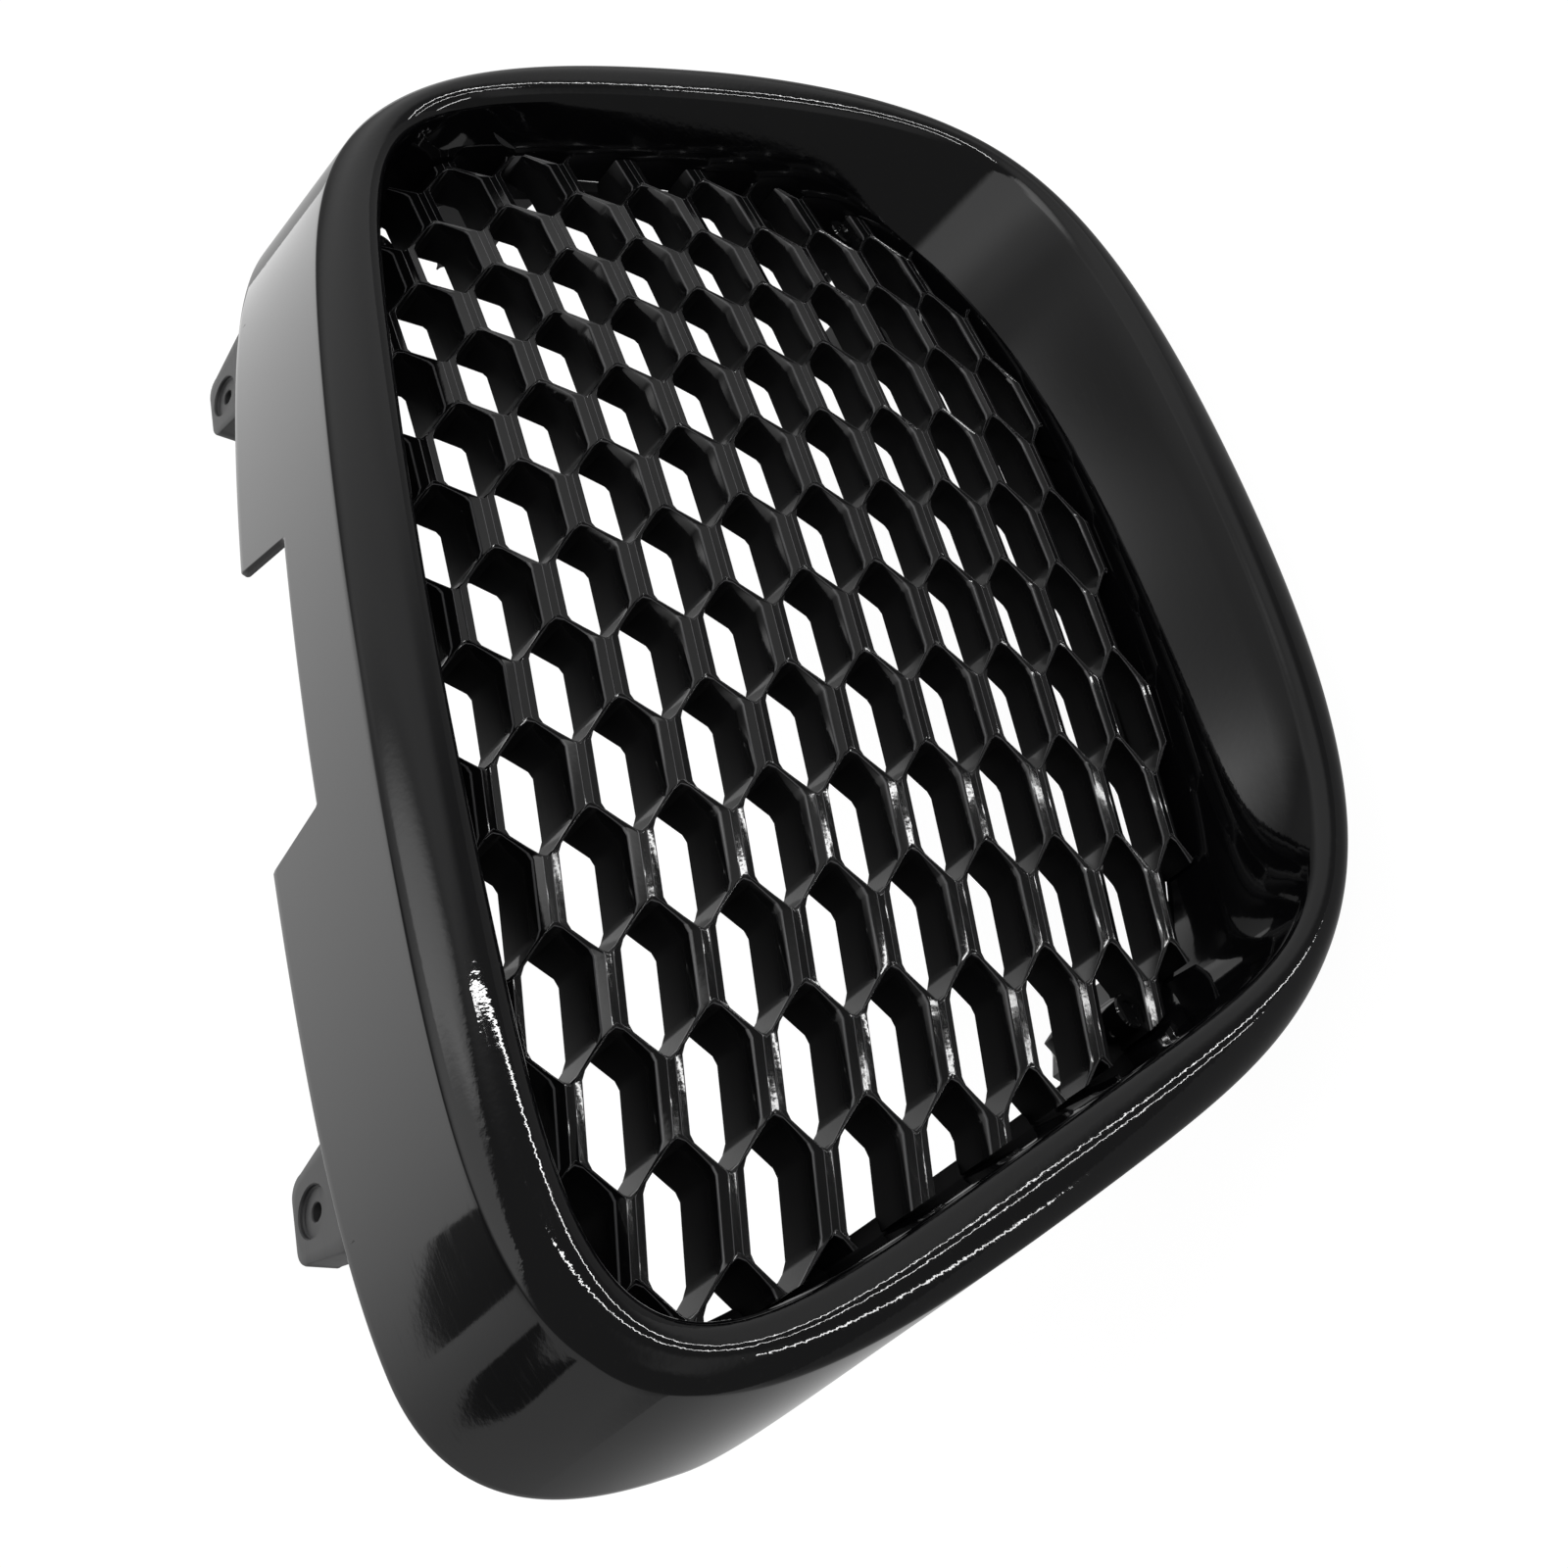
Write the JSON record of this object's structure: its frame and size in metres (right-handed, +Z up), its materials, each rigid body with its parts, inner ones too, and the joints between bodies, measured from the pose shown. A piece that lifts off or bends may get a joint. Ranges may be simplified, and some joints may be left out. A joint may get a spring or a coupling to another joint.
{
  "type": "front grille",
  "caption": "Gloss black car front grille: a raked, bowed surround with a deep inner wall and skirt, a convex honeycomb insert screwed in from behind, and screw ears.",
  "frame": {"origin": "midpoint between the two ear holes, on the floor of their counterbores", "axes": "+X across the car to the right seen from the front, +Y backwards into the car, +Z up along the ear holes"},
  "size_m": [0.41, 0.2026, 0.1876],
  "materials": {
    "surround_black": "high gloss black lacquer",
    "mesh_black": "high gloss black lacquer",
    "screw_zinc": "bright zinc plate"
  },
  "bodies": {
    "root": {"surround": "surround_black", "honeycomb_insert": "mesh_black", "insert_screws": "screw_zinc"}
  },
  "joints": []
}
